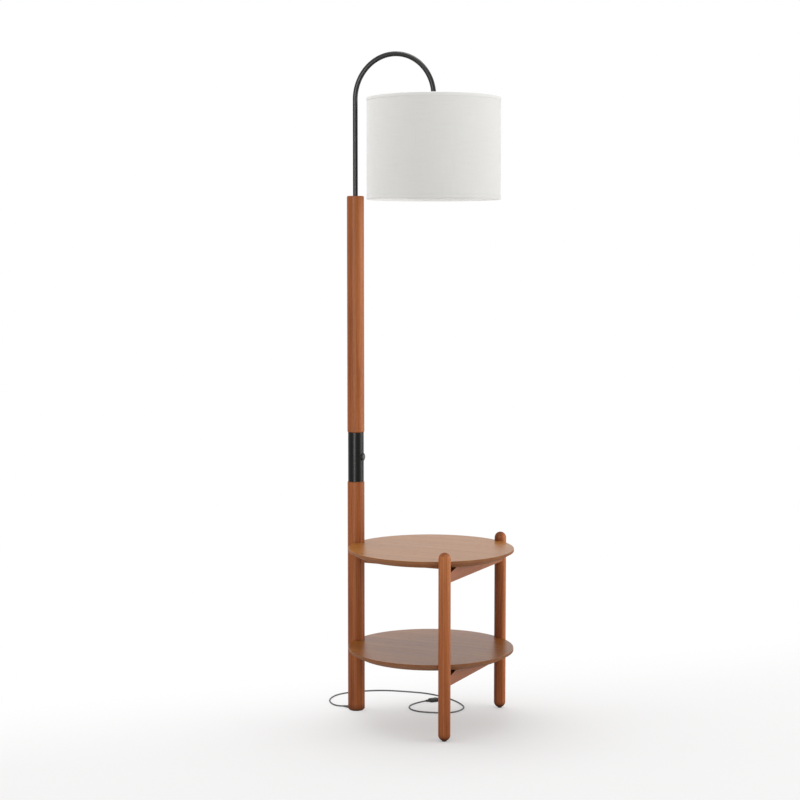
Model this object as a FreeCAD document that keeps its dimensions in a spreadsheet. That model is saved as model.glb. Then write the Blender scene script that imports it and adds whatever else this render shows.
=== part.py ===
import FreeCAD, Part
import math
import os
import re
import Sketcher

# Floor lamp with a two-shelf round table. Millimetres.
# The origin is on the floor under the post's axis, +X points to the table's centre, +Z is up.
# The front leg stands on the -Y side and the rear leg on the +Y side.

SIZES = [
    # the turned post, its foot and the cable channel
    ("post_dia", 42.0, "wooden post"),
    ("post_top", 1280.0, "height of the post's upper end"),
    ("post_bore", 14.0, "cable channel along the post"),
    ("post_chamfer", 2.0, "turned edges of the post's ends"),
    ("foot_round", 3.0, "rounded edge of the post's foot"),
    ("foot_bore", 26.0, "wider hollow at the foot, where the lead turns"),
    ("foot_bore_depth", 34.0, "height of that hollow"),
    ("pad_thick", 2.0, "felt pads under the post and the legs"),
    ("post_pad_dia", 34.0, "pad under the post"),
    ("slot_wide", 8.6, "cable slot across the foot's rim"),
    ("slot_high", 8.0, "height of that slot above the pad"),
    ("joint_gap", 0.2, "clearance of pieces cut to fit round another"),
    ("slide_gap", 0.1, "clearance of pieces pushed into a bore"),
    # the black steel sleeve that joins the two posts and holds the switch
    ("sleeve_base", 577.0, "height of the sleeve's lower end"),
    ("sleeve_long", 122.0, "length of the sleeve"),
    ("sleeve_dia", 39.0, "outside of the sleeve"),
    ("sleeve_wall", 1.5, "wall of the sleeve"),
    ("coupler_disc", 16.0, "length of a coupler inside the sleeve"),
    ("coupler_stud", 30.0, "length of its threaded stud"),
    ("stud_dia", 16.0, "threaded stud"),
    ("stud_bore", 9.0, "cable hole through a coupler"),
    ("insert_dia", 22.0, "threaded insert in the wood"),
    ("insert_long", 32.0, "length of the insert"),
    # the push switch in the sleeve, which faces the table
    ("bezel_dia", 20.0, "flange of the switch's ring"),
    ("bezel_face", 20.4, "face of the ring, from the post's axis"),
    ("bezel_neck", 17.8, "threaded neck of the ring"),
    ("bezel_rear", 11.0, "rear end of the neck, from the post's axis"),
    ("button_dia", 13.4, "button"),
    ("button_proud", 2.8, "how far the button stands out of its ring"),
    ("button_gap", 0.3, "running clearance all round the button"),
    ("button_flange", 15.8, "collar that keeps the button in"),
    ("flange_thick", 1.7, "thickness of that collar"),
    ("button_travel", 2.5, "stroke of the button"),
    ("button_dome", 0.8, "height of the button's domed face"),
    ("switch_wide", 22.0, "switch housing, across the post"),
    ("switch_high", 36.0, "switch housing, along the post"),
    ("switch_back", 8.0, "switch housing behind the post's axis"),
    ("switch_front", 14.0, "switch housing in front of the axis"),
    ("switch_round", 1.0, "rounded corners of the housing"),
    # the bent steel tube over the shade
    ("arm_dia", 12.0, "bent tube"),
    ("arm_wall", 1.2, "wall of the tube"),
    ("arm_radius", 105.0, "bend radius at the tube's centre line"),
    ("arm_spring", 1514.0, "height where the bend starts"),
    ("arm_drop", 22.0, "straight length beyond the bend"),
    ("bush_dia", 20.0, "steel bush in the post's top"),
    ("bush_long", 50.0, "length of that bush"),
    # the lampholder and its bulb
    ("nipple_dia", 9.4, "threaded tube that joins arm and lampholder"),
    ("nipple_bore", 6.5, "bore of that tube"),
    ("nipple_long", 29.0, "length of that tube"),
    ("nipple_in_arm", 15.0, "length of it inside the arm"),
    ("nut_flats", 14.0, "nut on the nipple, across flats"),
    ("nut_thick", 5.0, "thickness of the nut"),
    ("cap_dia", 44.0, "metal cap over the lampholder"),
    ("cap_high", 30.0, "height of the cap"),
    ("cap_wall", 1.6, "wall of the cap"),
    ("cap_round", 6.0, "rounded shoulder of the cap"),
    ("holder_dia", 39.0, "threaded barrel of the lampholder"),
    ("holder_bore", 28.2, "inside of the barrel"),
    ("lead_hole", 7.0, "hole for the lead in the barrel's closed end"),
    ("holder_head", 14.0, "length of the barrel inside the cap"),
    ("holder_drop", 32.0, "length of the barrel below the cap"),
    ("holder_floor", 7.0, "thickness of the barrel's closed end"),
    ("shell_wall", 0.6, "brass screw shell"),
    ("shell_long", 26.0, "length of that shell"),
    ("contact_dia", 11.0, "centre contact, wider than the hole above it"),
    ("contact_thick", 2.0, "thickness of the contact"),
    ("clamp_dia", 56.0, "ring that clamps the shade's frame"),
    ("clamp_thick", 9.0, "height of that ring"),
    ("clamp_round", 2.0, "rounded lower edge of that ring"),
    ("bulb_dia", 60.0, "glass globe of the bulb"),
    ("bulb_neck", 26.0, "neck of the globe"),
    ("bulb_long", 108.0, "length of the bulb with its cap"),
    ("bulb_wall", 1.0, "glass thickness"),
    ("bulb_cap_dia", 26.4, "metal cap of the bulb"),
    ("bulb_cap_long", 25.0, "length of that cap"),
    ("bulb_cap_taper", 6.0, "length of the cap's tapered end"),
    ("bulb_tip_dia", 9.0, "flat end of the cap"),
    ("bulb_slope", 30.0, "degrees above the equator where the neck's cone starts"),
    # the drum shade
    ("shade_dia", 323.0, "outside of the hems"),
    ("shade_base", 1268.5, "height of the shade's lower edge"),
    ("shade_high", 243.0, "height of the shade"),
    ("hem_thick", 0.6, "folded edge of the cloth"),
    ("hem_high", 9.0, "outer leg of the fold"),
    ("hem_lap", 7.0, "inner leg of the lower fold"),
    ("layer_gap", 0.1, "glue line between the layers of the shade"),
    ("cloth_thick", 0.7, "cloth of the drum"),
    ("liner_thick", 0.5, "stiff liner behind the cloth"),
    ("wire_dia", 4.0, "wire rings and spokes"),
    ("fitter_dia", 60.0, "flat ring in the middle of the spider"),
    ("fitter_thick", 2.0, "thickness of that ring"),
    ("spoke_flat", 16.0, "level length of a spoke beside the flat ring"),
    ("spoke_count", 3.0, "spokes of the spider"),
    # the table
    ("shelf_dia", 404.0, "both shelves"),
    ("shelf_start", 2.5, "nearest edge of the shelves, from the post's axis"),
    ("shelf_thick", 18.0, "both shelves"),
    ("shelf_edge", 6.0, "upright edge of a shelf"),
    ("shelf_bevel", 22.0, "width of the bevel under the edge"),
    ("shelf_ease", 0.8, "eased upper corner"),
    ("upper_top", 425.0, "height of the upper shelf's face"),
    ("lower_top", 180.5, "height of the lower shelf's face"),
    ("leg_dia", 29.0, "both legs"),
    ("leg_top", 447.0, "height of the legs"),
    ("leg_out", 3.5, "centre of a leg beyond the shelf's edge"),
    ("leg_angle", 56.8, "degrees between a leg and the table's middle line"),
    ("leg_foot", 11.0, "flat under a leg's rounded foot"),
    ("rail_thick", 20.0, "rails under the shelves"),
    ("rail_high", 31.5, "rails under the shelves"),
    ("clip_long", 36.0, "sloped upper corner of a rail's end"),
    ("clip_high", 8.5, "height of that corner"),
    ("dowel_dia", 6.0, "beech dowels in the joints"),
    ("dowel_long", 24.0, "length of a dowel"),
    ("dowel_rise", 6.0, "lower dowel above the rail's lower face"),
    ("dowel_pitch", 9.5, "second dowel above the first"),
    ("screw_dia", 4.0, "screws from the rails into the shelves"),
    ("screw_tip", 1.0, "blunt end of a screw's point"),
    ("screw_head", 8.0, "pan head"),
    ("screw_head_high", 2.4, "height of the head"),
    ("recess_long", 4.2, "cross recess in the head"),
    ("recess_wide", 0.9, "each arm of that cross"),
    ("recess_deep", 1.3, "depth of the cross"),
    ("screw_long", 32.0, "length of a screw"),
    ("screw_sink", 12.0, "depth of the pocket under the head"),
    ("pocket_dia", 9.0, "pocket for the head"),
    ("screw_near", 90.0, "first screw of the long rail, from the post"),
    ("screw_far", 230.0, "second screw of the long rail"),
    ("screw_side", 80.0, "screws of the cross rail, from its middle"),
    # the mains cord, its gland and its plug
    ("cord_dia", 3.8, "mains cord and inner leads"),
    ("lead_turn", 9.0, "bend of the inner lead in the post's foot"),
    ("gland_axis", 4.4, "height of the gland's axis"),
    ("gland_dia", 7.4, "gland where it fills the slot"),
    ("gland_tip", 5.0, "thin end of the gland"),
    ("gland_inside", 12.0, "inner end of the gland, from the post's axis"),
    ("gland_outside", 36.0, "outer end of the gland, from the post's axis"),
    ("plug_wide", 19.0, "plug body"),
    ("plug_thick", 9.0, "plug body"),
    ("plug_long", 24.0, "plug body without its tail"),
    ("plug_tail", 9.0, "tapered tail of the plug"),
    ("plug_tail_dia", 5.6, "thin end of that tail"),
    ("plug_root_dia", 7.0, "thick end of that tail"),
    ("plug_lift", 0.1, "plug above the floor"),
    ("plug_round", 2.0, "rounded edges of the plug"),
    ("blade_long", 17.0, "blades"),
    ("blade_wide", 6.3, "blades"),
    ("blade_thick", 1.5, "blades"),
    ("blade_pitch", 12.7, "distance between the blades"),
    ("blade_hole", 3.2, "hole near a blade's tip"),
]

# Names for formulas of those sizes.
WORKED_OUT = {
    "post_r": "post_dia / 2",
    "sleeve_top": "sleeve_base + sleeve_long",
    "sleeve_r": "sleeve_dia / 2",
    "sleeve_in_r": "sleeve_r - sleeve_wall",
    "switch_z": "sleeve_base + sleeve_long / 2",
    "button_r": "button_dia / 2",
    "shade_x": "2 * arm_radius",
    "arm_end": "arm_spring - arm_drop",
    "cap_base": "arm_end - cap_high",
    "holder_r": "holder_dia / 2",
    "holder_base": "cap_base - holder_drop",
    "holder_roof": "cap_base + holder_head",
    "well_roof": "holder_roof - holder_floor",
    "bulb_tip": "well_roof - contact_thick",
    "bulb_cap_base": "bulb_tip - bulb_cap_long",
    "bulb_base": "bulb_tip - bulb_long",
    "bulb_mid": "bulb_base + bulb_dia / 2",
    "shade_r": "shade_dia / 2",
    "shade_top": "shade_base + shade_high",
    "cloth_r": "shade_r - hem_thick - layer_gap",
    "liner_r": "cloth_r - cloth_thick - layer_gap",
    "wire_r": "liner_r - liner_thick - layer_gap - wire_dia / 2",
    "wire_in": "hem_thick + layer_gap + wire_dia / 2",
    "leg_r": "leg_dia / 2",
    "table_x": "shelf_start + shelf_dia / 2",
    "leg_ring": "shelf_dia / 2 + leg_out",
    "leg_x": "table_x + leg_ring * cos(leg_angle)",
    "leg_y": "leg_ring * sin(leg_angle)",
    "dowel_hole": "dowel_dia + 2 * slide_gap",
    "dowel_depth": "dowel_long / 2 + joint_gap",
    "rail_reach": "leg_y - leg_r",
    "plug_mid": "plug_thick / 2 + plug_lift",
}

# Route of the mains cord over the floor, from the gland to the plug.
CORD_ROUTE = [
    (-36, 0, 4.4), (-55, 1, 2.3), (-82, 18, 2.1), (-105, 52, 2.1), (-110, 108, 2.1),
    (-74, 159, 2.1), (-20, 197, 2.1), (45, 210, 2.1), (100, 216, 2.1), (163, 195, 2.1),
    (209, 164, 2.1), (246, 122, 2.1), (239, 69, 2.1), (199, 46, 2.1), (144, 37, 2.1),
    (111, 65, 2.1), (109, 108, 2.3), (130, 134, 4.6),
]
BEND_SHARE = 0.45      # share of the shorter run that a bend of the cord may take
TINY = 0.001           # shorter runs are left out of a path
CLOSE = 0.01           # radii, heights and lengths this close are the same
VOLUME_SHARE = 0.005   # how far a swept tube's volume may be off

doc = FreeCAD.newDocument("floor_lamp_with_table")
sheet = doc.addObject("Spreadsheet::Sheet", "Sizes")
CELLS = {name for name, number, note in SIZES}
nodes = []


def formula(text):
    """Sizes become references to their cells; other names become their own formulas."""
    def swap(found):
        name = found.group()
        if name in WORKED_OUT:
            return "(%s)" % formula(WORKED_OUT[name])
        return "Sizes." + name if name in CELLS else name
    return re.sub(r"[a-z_]+", swap, text)


def fill_sheet():
    for row, (name, number, note) in enumerate(SIZES, start=1):
        sheet.set("A%d" % row, name)
        sheet.set("B%d" % row, str(number))
        sheet.set("C%d" % row, note)
        sheet.setAlias("B%d" % row, name)
    doc.recompute()


def value(text):
    return float(sheet.evalExpression(formula(text)))


def bind(item, **properties):
    """Each property follows a formula: Length, Radius and so on, dots written as __."""
    for name, text in properties.items():
        item.setExpression(name.replace("__", "."), formula(text))


def place(item, x="0", y="0", z="0"):
    item.Placement = FreeCAD.Placement()
    bind(item, Placement__Base__x=x, Placement__Base__y=y, Placement__Base__z=z)


# ---- bodies and sketches ----

def new_body(label, x="0", y="0", z="0"):
    body = doc.addObject("PartDesign::Body", label)
    body.Label = label
    place(body, x, y, z)
    nodes.append(body)
    return body


def new_sketch(body, name, role, offset="0"):
    plane = next(item for item in body.Origin.OriginFeatures if item.Role == role)
    sketch = body.newObject("Sketcher::SketchObject", name)
    sketch.AttachmentSupport = [(plane, "")]
    sketch.MapMode = "FlatFace"
    bind(sketch, AttachmentOffset__Base__z=offset)
    return sketch


def hold_point(sketch, geometry, point, x, y):
    """Ties a sketch point to the origin by two formulas."""
    for kind, text, axis in (("DistanceX", x, -2), ("DistanceY", y, -1)):
        if text == "0":
            sketch.addConstraint(Sketcher.Constraint("PointOnObject", geometry, point, axis))
            continue
        rule = Sketcher.Constraint(kind, -1, 1, geometry, point, value(text))
        number = sketch.addConstraint(rule)
        sketch.setExpression("Constraints[%d]" % number, formula(text))


def draw_outline(sketch, corners, arcs=None):
    """Closed outline through the corners; arcs[i] = (x, y, turn) bends the side after corner i
    about a centre on one of the sketch's axes, with turn +1 for anticlockwise."""
    arcs = arcs or {}
    spots = [FreeCAD.Vector(value(x), value(y), 0) for x, y in corners]
    ends = []
    for index, start in enumerate(spots):
        end = spots[(index + 1) % len(spots)]
        if index not in arcs:
            geometry = sketch.addGeometry(Part.LineSegment(start, end))
            ends.append((geometry, 1, 2))
            continue
        x, y, turn = arcs[index]
        centre = FreeCAD.Vector(value(x), value(y), 0)
        first, last = (start, end) if turn > 0 else (end, start)
        begin = math.atan2(first.y - centre.y, first.x - centre.x)
        finish = math.atan2(last.y - centre.y, last.x - centre.x)
        circle = Part.Circle(centre, FreeCAD.Vector(0, 0, 1), (start - centre).Length)
        geometry = sketch.addGeometry(Part.ArcOfCircle(circle, begin, finish))
        ends.append((geometry, 1, 2) if turn > 0 else (geometry, 2, 1))
    for index, (geometry, start, end) in enumerate(ends):
        following = ends[(index + 1) % len(ends)]
        sketch.addConstraint(Sketcher.Constraint("Coincident", geometry, end, following[0], following[1]))
    for (geometry, start, end), (x, y) in zip(ends, corners):
        hold_point(sketch, geometry, start, x, y)
    for index, (x, y, turn) in arcs.items():
        axis = -2 if x == "0" else -1
        sketch.addConstraint(Sketcher.Constraint("PointOnObject", ends[index][0], 3, axis))


def draw_circle(sketch, x, y, diameter):
    centre = FreeCAD.Vector(value(x), value(y), 0)
    circle = Part.Circle(centre, FreeCAD.Vector(0, 0, 1), value(diameter) / 2)
    geometry = sketch.addGeometry(circle)
    hold_point(sketch, geometry, 3, x, y)
    number = sketch.addConstraint(Sketcher.Constraint("Diameter", geometry, value(diameter)))
    sketch.setExpression("Constraints[%d]" % number, formula(diameter))


def revolve(body, name, corners, arcs=None, axis="V_Axis"):
    """Turns an outline in the XZ plane about the body's Z axis, or about X with H_Axis."""
    sketch = new_sketch(body, name + "_outline", "XZ_Plane")
    draw_outline(sketch, corners, arcs)
    turned = body.newObject("PartDesign::Revolution", name)
    turned.Profile = sketch
    turned.ReferenceAxis = (sketch, [axis])
    turned.Angle = 360
    body.Tip = turned
    sketch.Visibility = False
    return turned


def turn_piece(label, corners, arcs=None, axis="V_Axis", x="0", y="0", z="0"):
    body = new_body(label, x, y, z)
    revolve(body, label + "_turned", corners, arcs, axis)
    doc.recompute()
    return body


def tube_corners(inner, outer, low, high):
    return [(inner, low), (outer, low), (outer, high), (inner, high)]


def pocket(body, name, sketch, length=None, reverse=False, both=False):
    """Cuts a sketch out of a body and makes sure that something was cut."""
    before = body.Shape.Volume
    cut = body.newObject("PartDesign::Pocket", name)
    cut.Profile = sketch
    cut.Reversed = reverse
    cut.Midplane = both
    if length is None:
        cut.Type = "ThroughAll"
    else:
        bind(cut, Length=length)
    body.Tip = cut
    doc.recompute()
    if not body.Shape.Volume < before - CLOSE:
        raise RuntimeError("%s cuts nothing" % name)
    return cut


def drill(body, name, role, holes, diameter, offset="0", length=None, reverse=False, both=False):
    sketch = new_sketch(body, name + "_circles", role, offset)
    for x, y in holes:
        draw_circle(sketch, x, y, diameter)
    return pocket(body, name, sketch, length, reverse, both)


def round_edges(body, name, kind, size, picked):
    """Fillet or Chamfer on the edges of the body's tip for which picked(edge) is true."""
    base = body.Tip
    edges = ["Edge%d" % (number + 1) for number, edge in enumerate(base.Shape.Edges) if picked(edge)]
    if not edges:
        raise RuntimeError("%s finds no edge" % name)
    feature = body.newObject("PartDesign::" + kind, name)
    feature.Base = (base, edges)
    bind(feature, **{"Radius" if kind == "Fillet" else "Size": size})
    body.Tip = feature
    doc.recompute()
    return feature


def flat_circle(edge, z, radius):
    """True for a level circle of that radius at that height."""
    curve = edge.Curve
    return (isinstance(curve, Part.Circle) and abs(curve.Radius - radius) < CLOSE
            and abs(curve.Center.z - z) < CLOSE)


def group(label, items):
    """One node that holds several separate solids."""
    pieces = doc.addObject("Part::Compound", label)
    pieces.Label = label
    pieces.Links = items
    nodes.append(pieces)
    return pieces


def cylinder(name, diameter, length, x, y, z, axis=(0, 0, 1)):
    item = doc.addObject("Part::Cylinder", name)
    bind(item, Radius="%s / 2" % diameter, Height=length)
    turn = FreeCAD.Rotation(FreeCAD.Vector(0, 0, 1), FreeCAD.Vector(*axis))
    item.Placement = FreeCAD.Placement(FreeCAD.Vector(), turn)
    bind(item, Placement__Base__x=x, Placement__Base__y=y, Placement__Base__z=z)
    return item


# ---- post ----

def make_post_lower():
    """Turned lower post with its cable channel, the insert's seat and the hollow foot."""
    low, high = "pad_thick", "sleeve_base"
    seat = "sleeve_base - insert_long - joint_gap"
    body = turn_piece("post_lower", [
        ("foot_bore / 2", low), ("post_r", low),
        ("post_r", high), ("insert_dia / 2 + slide_gap", high),
        ("insert_dia / 2 + slide_gap", seat), ("post_bore / 2", seat),
        ("post_bore / 2", "foot_bore_depth"), ("foot_bore / 2", "foot_bore_depth")])
    drill_post_joints(body)
    slot = new_sketch(body, "cable_slot_outline", "YZ_Plane")
    draw_outline(slot, [("-slot_wide / 2", "0"), ("slot_wide / 2", "0"),
                        ("slot_wide / 2", "pad_thick + slot_high"),
                        ("-slot_wide / 2", "pad_thick + slot_high")])
    pocket(body, "cable_slot", slot)
    round_edges(body, "foot_rounding", "Fillet", "foot_round", lambda edge:
                flat_circle(edge, value("pad_thick"), value("post_r")))
    round_edges(body, "top_chamfer", "Chamfer", "post_chamfer", lambda edge:
                flat_circle(edge, value("sleeve_base"), value("post_r")))


def drill_post_joints(body):
    """Blind dowel holes that face the long rail of each shelf."""
    holes = []
    for top in ("upper_top", "lower_top"):
        for rise in dowel_rises():
            holes.append(("0", "%s - shelf_thick - rail_high + %s" % (top, rise)))
    drill(body, "dowel_holes", "YZ_Plane", holes, "dowel_hole",
          offset="post_r - dowel_depth", length="dowel_depth", reverse=True)


def dowel_rises():
    return ("dowel_rise", "dowel_rise + dowel_pitch")


def make_post_upper():
    """Turned upper post with seats for the insert below and the arm's bush above."""
    low, high = "sleeve_top", "post_top"
    seat = "sleeve_top + insert_long + joint_gap"
    ledge = "post_top - bush_long"
    body = turn_piece("post_upper", [
        ("insert_dia / 2 + slide_gap", low), ("post_r", low),
        ("post_r", high), ("bush_dia / 2 + slide_gap", high),
        ("bush_dia / 2 + slide_gap", ledge), ("post_bore / 2", ledge),
        ("post_bore / 2", seat), ("insert_dia / 2 + slide_gap", seat)])
    for name, height in (("lower_chamfer", low), ("upper_chamfer", high)):
        round_edges(body, name, "Chamfer", "post_chamfer", lambda edge:
                    flat_circle(edge, value(height), value("post_r")))


def make_post_pad():
    """Felt pad with a notch under the cable slot."""
    body = turn_piece("post_pad", [("0", "0"), ("post_pad_dia / 2", "0"),
                                   ("post_pad_dia / 2", "pad_thick"), ("0", "pad_thick")])
    notch = new_sketch(body, "pad_notch_outline", "XY_Plane")
    inner = "-gland_inside + 2 * joint_gap"
    draw_outline(notch, [("-post_r", "-slot_wide / 2"), (inner, "-slot_wide / 2"),
                         (inner, "slot_wide / 2"), ("-post_r", "slot_wide / 2")])
    pocket(body, "pad_notch", notch, reverse=True)


def make_couplers():
    """A steel coupler at each end of the sleeve, screwed into an insert in the wood."""
    disc = "sleeve_in_r - slide_gap"
    for end, edge, way in (("lower", "sleeve_base", "-"), ("upper", "sleeve_top", "+")):
        back = "+" if way == "-" else "-"
        stud_tip = "%s %s coupler_stud" % (edge, way)
        face = "%s %s coupler_disc" % (edge, back)
        turn_piece("coupler_" + end, [
            ("stud_bore / 2", stud_tip), ("stud_dia / 2", stud_tip), ("stud_dia / 2", edge),
            (disc, edge), (disc, face), ("stud_bore / 2", face)])
        deep = "%s %s insert_long" % (edge, way)
        turn_piece("insert_" + end, tube_corners("stud_dia / 2 + slide_gap", "insert_dia / 2", edge, deep))


def make_sleeve():
    body = turn_piece("sleeve", tube_corners("sleeve_in_r", "sleeve_r", "sleeve_base", "sleeve_top"))
    drill(body, "switch_hole", "YZ_Plane", [("0", "switch_z")], "bezel_neck + 2 * slide_gap", reverse=True)


# ---- push switch ----

def make_switch_body():
    """Moulded housing behind the sleeve's wall, with a stepped well for ring and button."""
    body = new_body("switch_body", z="switch_z")
    plan = new_sketch(body, "switch_plan", "XY_Plane")
    draw_outline(plan, [("-switch_back", "-switch_wide / 2"), ("switch_front", "-switch_wide / 2"),
                        ("switch_front", "switch_wide / 2"), ("-switch_back", "switch_wide / 2")])
    block = body.newObject("PartDesign::Pad", "switch_block")
    block.Profile = plan
    block.Midplane = True
    bind(block, Length="switch_high")
    body.Tip = block
    doc.recompute()
    for name, diameter, depth in (
            ("neck_well", "bezel_neck + 2 * slide_gap", "bezel_rear"),
            ("button_well", "button_flange + 2 * button_gap",
             "bezel_rear - button_gap - flange_thick - button_travel - 2 * button_gap")):
        drill(body, name, "YZ_Plane", [("0", "0")], diameter, offset=depth,
              length="switch_front", reverse=True)
    round_edges(body, "switch_corners", "Fillet", "switch_round", lambda edge:
                abs(edge.Length - value("switch_high")) < CLOSE)


def make_bezel():
    """Ring whose flange is hollowed to sit on the round sleeve, with a neck into the housing."""
    body = turn_piece("switch_bezel", tube_on_x("button_r + button_gap", "bezel_dia / 2",
                                                "bezel_rear", "bezel_face"), axis="H_Axis", z="switch_z")
    drill(body, "saddle", "XY_Plane", [("0", "0")], "sleeve_dia + 2 * slide_gap", both=True)
    revolve(body, "neck", tube_on_x("button_r + button_gap", "bezel_neck / 2",
                                    "bezel_rear", "sleeve_r + slide_gap"), axis="H_Axis")
    doc.recompute()


def tube_on_x(inner, outer, near, far):
    return [(near, inner), (near, outer), (far, outer), (far, inner)]


def make_button():
    """Domed button; its collar stays behind the ring."""
    front = "bezel_rear - button_gap"
    face = "bezel_face + button_proud"
    dome = "(button_r * button_r + button_dome * button_dome) / (2 * button_dome)"
    turn_piece("switch_button", [
        (front + " - flange_thick", "0"), (front + " - flange_thick", "button_flange / 2"),
        (front, "button_flange / 2"), (front, "button_r"),
        (face + " - button_dome", "button_r"), (face, "0")],
        arcs={4: (face + " - " + dome, "0", -1)}, axis="H_Axis", z="switch_z")


# ---- arm ----

def make_arm():
    """Steel tube bent over the shade, swept along two straights and a half circle."""
    body = new_body("arm_tube")
    low = "post_top - bush_long + slide_gap"
    path = new_sketch(body, "arm_path", "XZ_Plane")
    draw_arm_path(path, low, "arm_end")
    ring = new_sketch(body, "arm_section", "XY_Plane", low)
    draw_circle(ring, "0", "0", "arm_dia")
    draw_circle(ring, "0", "0", "arm_dia - 2 * arm_wall")
    bend = body.newObject("PartDesign::AdditivePipe", "arm_bend")
    bend.Profile = ring
    bend.Spine = (path, ["Edge1", "Edge2", "Edge3"])
    body.Tip = bend
    doc.recompute()


def draw_arm_path(sketch, low, end):
    """Up the post's axis, over a half circle and down the shade's axis."""
    spots = [FreeCAD.Vector(value(x), value(y), 0) for x, y in (
        ("0", low), ("0", "arm_spring"), ("shade_x", "arm_spring"), ("shade_x", end))]
    centre = FreeCAD.Vector(value("arm_radius"), value("arm_spring"), 0)
    circle = Part.Circle(centre, FreeCAD.Vector(0, 0, 1), value("arm_radius"))
    rise = sketch.addGeometry(Part.LineSegment(spots[0], spots[1]))
    bow = sketch.addGeometry(Part.ArcOfCircle(circle, 0, math.pi))
    drop = sketch.addGeometry(Part.LineSegment(spots[2], spots[3]))
    sketch.addConstraint(Sketcher.Constraint("Coincident", rise, 2, bow, 2))
    sketch.addConstraint(Sketcher.Constraint("Coincident", bow, 1, drop, 1))
    hold_point(sketch, rise, 1, "0", low)
    hold_point(sketch, rise, 2, "0", "arm_spring")
    hold_point(sketch, drop, 1, "shade_x", "arm_spring")
    hold_point(sketch, drop, 2, "shade_x", end)
    number = sketch.addConstraint(Sketcher.Constraint("DistanceY", -1, 1, bow, 3, centre.y))
    sketch.setExpression("Constraints[%d]" % number, formula("arm_spring"))


def make_arm_bush():
    turn_piece("arm_bush", tube_corners("arm_dia / 2 + slide_gap", "bush_dia / 2",
                                        "post_top - bush_long", "post_top"))


# ---- lampholder and bulb, all on the shade's axis ----

def hung_piece(label, corners, arcs=None):
    return turn_piece(label, corners, arcs, x="shade_x")


def make_nipple():
    """Threaded tube that carries the lampholder in the arm's end, and its nut."""
    top = "arm_end + nipple_in_arm"
    hung_piece("arm_nipple", tube_corners("nipple_bore / 2", "nipple_dia / 2",
                                          top + " - nipple_long", top))
    body = new_body("nipple_nut", x="shade_x", z="arm_end - cap_wall - nut_thick")
    plan = new_sketch(body, "nut_plan", "XY_Plane")
    corners = []
    for side in range(6):
        angle = 60 * side
        corners.append(("nut_flats / sqrt(3) * cos(%d)" % angle, "nut_flats / sqrt(3) * sin(%d)" % angle))
    draw_outline(plan, corners)
    draw_circle(plan, "0", "0", "nipple_dia + 2 * slide_gap")
    block = body.newObject("PartDesign::Pad", "nut_block")
    block.Profile = plan
    bind(block, Length="nut_thick")
    body.Tip = block
    doc.recompute()


def make_lampholder():
    """Metal cap, moulded barrel, screw shell and centre contact."""
    hole = "nipple_dia / 2 + slide_gap"
    body = hung_piece("lampholder_cap", [
        ("cap_dia / 2 - cap_wall", "cap_base"), ("cap_dia / 2", "cap_base"), ("cap_dia / 2", "arm_end"),
        (hole, "arm_end"), (hole, "arm_end - cap_wall"), ("cap_dia / 2 - cap_wall", "arm_end - cap_wall")])
    round_edges(body, "cap_shoulder", "Fillet", "cap_round", lambda edge:
                flat_circle(edge, value("arm_end"), value("cap_dia / 2")))
    round_edges(body, "cap_inner_shoulder", "Fillet", "cap_round - cap_wall", lambda edge:
                flat_circle(edge, value("arm_end - cap_wall"), value("cap_dia / 2 - cap_wall")))
    hung_piece("lampholder_barrel", [
        ("holder_bore / 2", "holder_base"), ("holder_r", "holder_base"), ("holder_r", "holder_roof"),
        ("lead_hole / 2", "holder_roof"), ("lead_hole / 2", "well_roof"),
        ("holder_bore / 2", "well_roof")])
    outer = "holder_bore / 2 - slide_gap"
    hung_piece("lampholder_shell", tube_corners(outer + " - shell_wall", outer,
                                                "well_roof - shell_long", "well_roof"))
    hung_piece("lampholder_contact", [
        ("0", "bulb_tip"), ("contact_dia / 2", "bulb_tip"),
        ("contact_dia / 2", "well_roof"), ("0", "well_roof")])


def make_clamp_ring():
    """Threaded ring that presses the shade's frame against the cap."""
    top = "cap_base - fitter_thick"
    body = hung_piece("shade_clamp_ring", tube_corners("holder_r + slide_gap", "clamp_dia / 2",
                                                       top + " - clamp_thick", top))
    round_edges(body, "ring_edge", "Fillet", "clamp_round", lambda edge:
                flat_circle(edge, value(top + " - clamp_thick"), value("clamp_dia / 2")))


def make_bulb():
    """Metal cap and a hollow globe whose neck is a cone that runs tangent into the sphere."""
    shoulder = "bulb_tip - bulb_cap_taper"
    hung_piece("bulb_cap", [
        ("0", "bulb_cap_base"), ("bulb_cap_dia / 2", "bulb_cap_base"),
        ("bulb_cap_dia / 2", shoulder), ("bulb_tip_dia / 2", "bulb_tip"), ("0", "bulb_tip")])
    outer, inner = "bulb_dia / 2", "bulb_dia / 2 - bulb_wall"
    throat, mouth = "bulb_neck / 2", "bulb_neck / 2 - bulb_wall"
    hung_piece("bulb_globe", [
        (throat, "bulb_cap_base"), (throat, cone_foot(outer, throat)), sphere_spot(outer),
        ("0", "bulb_base"), ("0", "bulb_base + bulb_wall"),
        sphere_spot(inner), (mouth, cone_foot(inner, mouth)), (mouth, "bulb_cap_base")],
        arcs={2: ("0", "bulb_mid", -1), 4: ("0", "bulb_mid", 1)})


def sphere_spot(radius):
    """Where the neck's cone touches the globe's sphere."""
    return ("(%s) * cos(bulb_slope)" % radius, "bulb_mid + (%s) * sin(bulb_slope)" % radius)


def cone_foot(radius, throat):
    """Height where that cone has narrowed to the neck."""
    run = "((%s) * cos(bulb_slope) - (%s))" % (radius, throat)
    return "bulb_mid + (%s) * sin(bulb_slope) + %s / tan(bulb_slope)" % (radius, run)


# ---- shade ----

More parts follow.
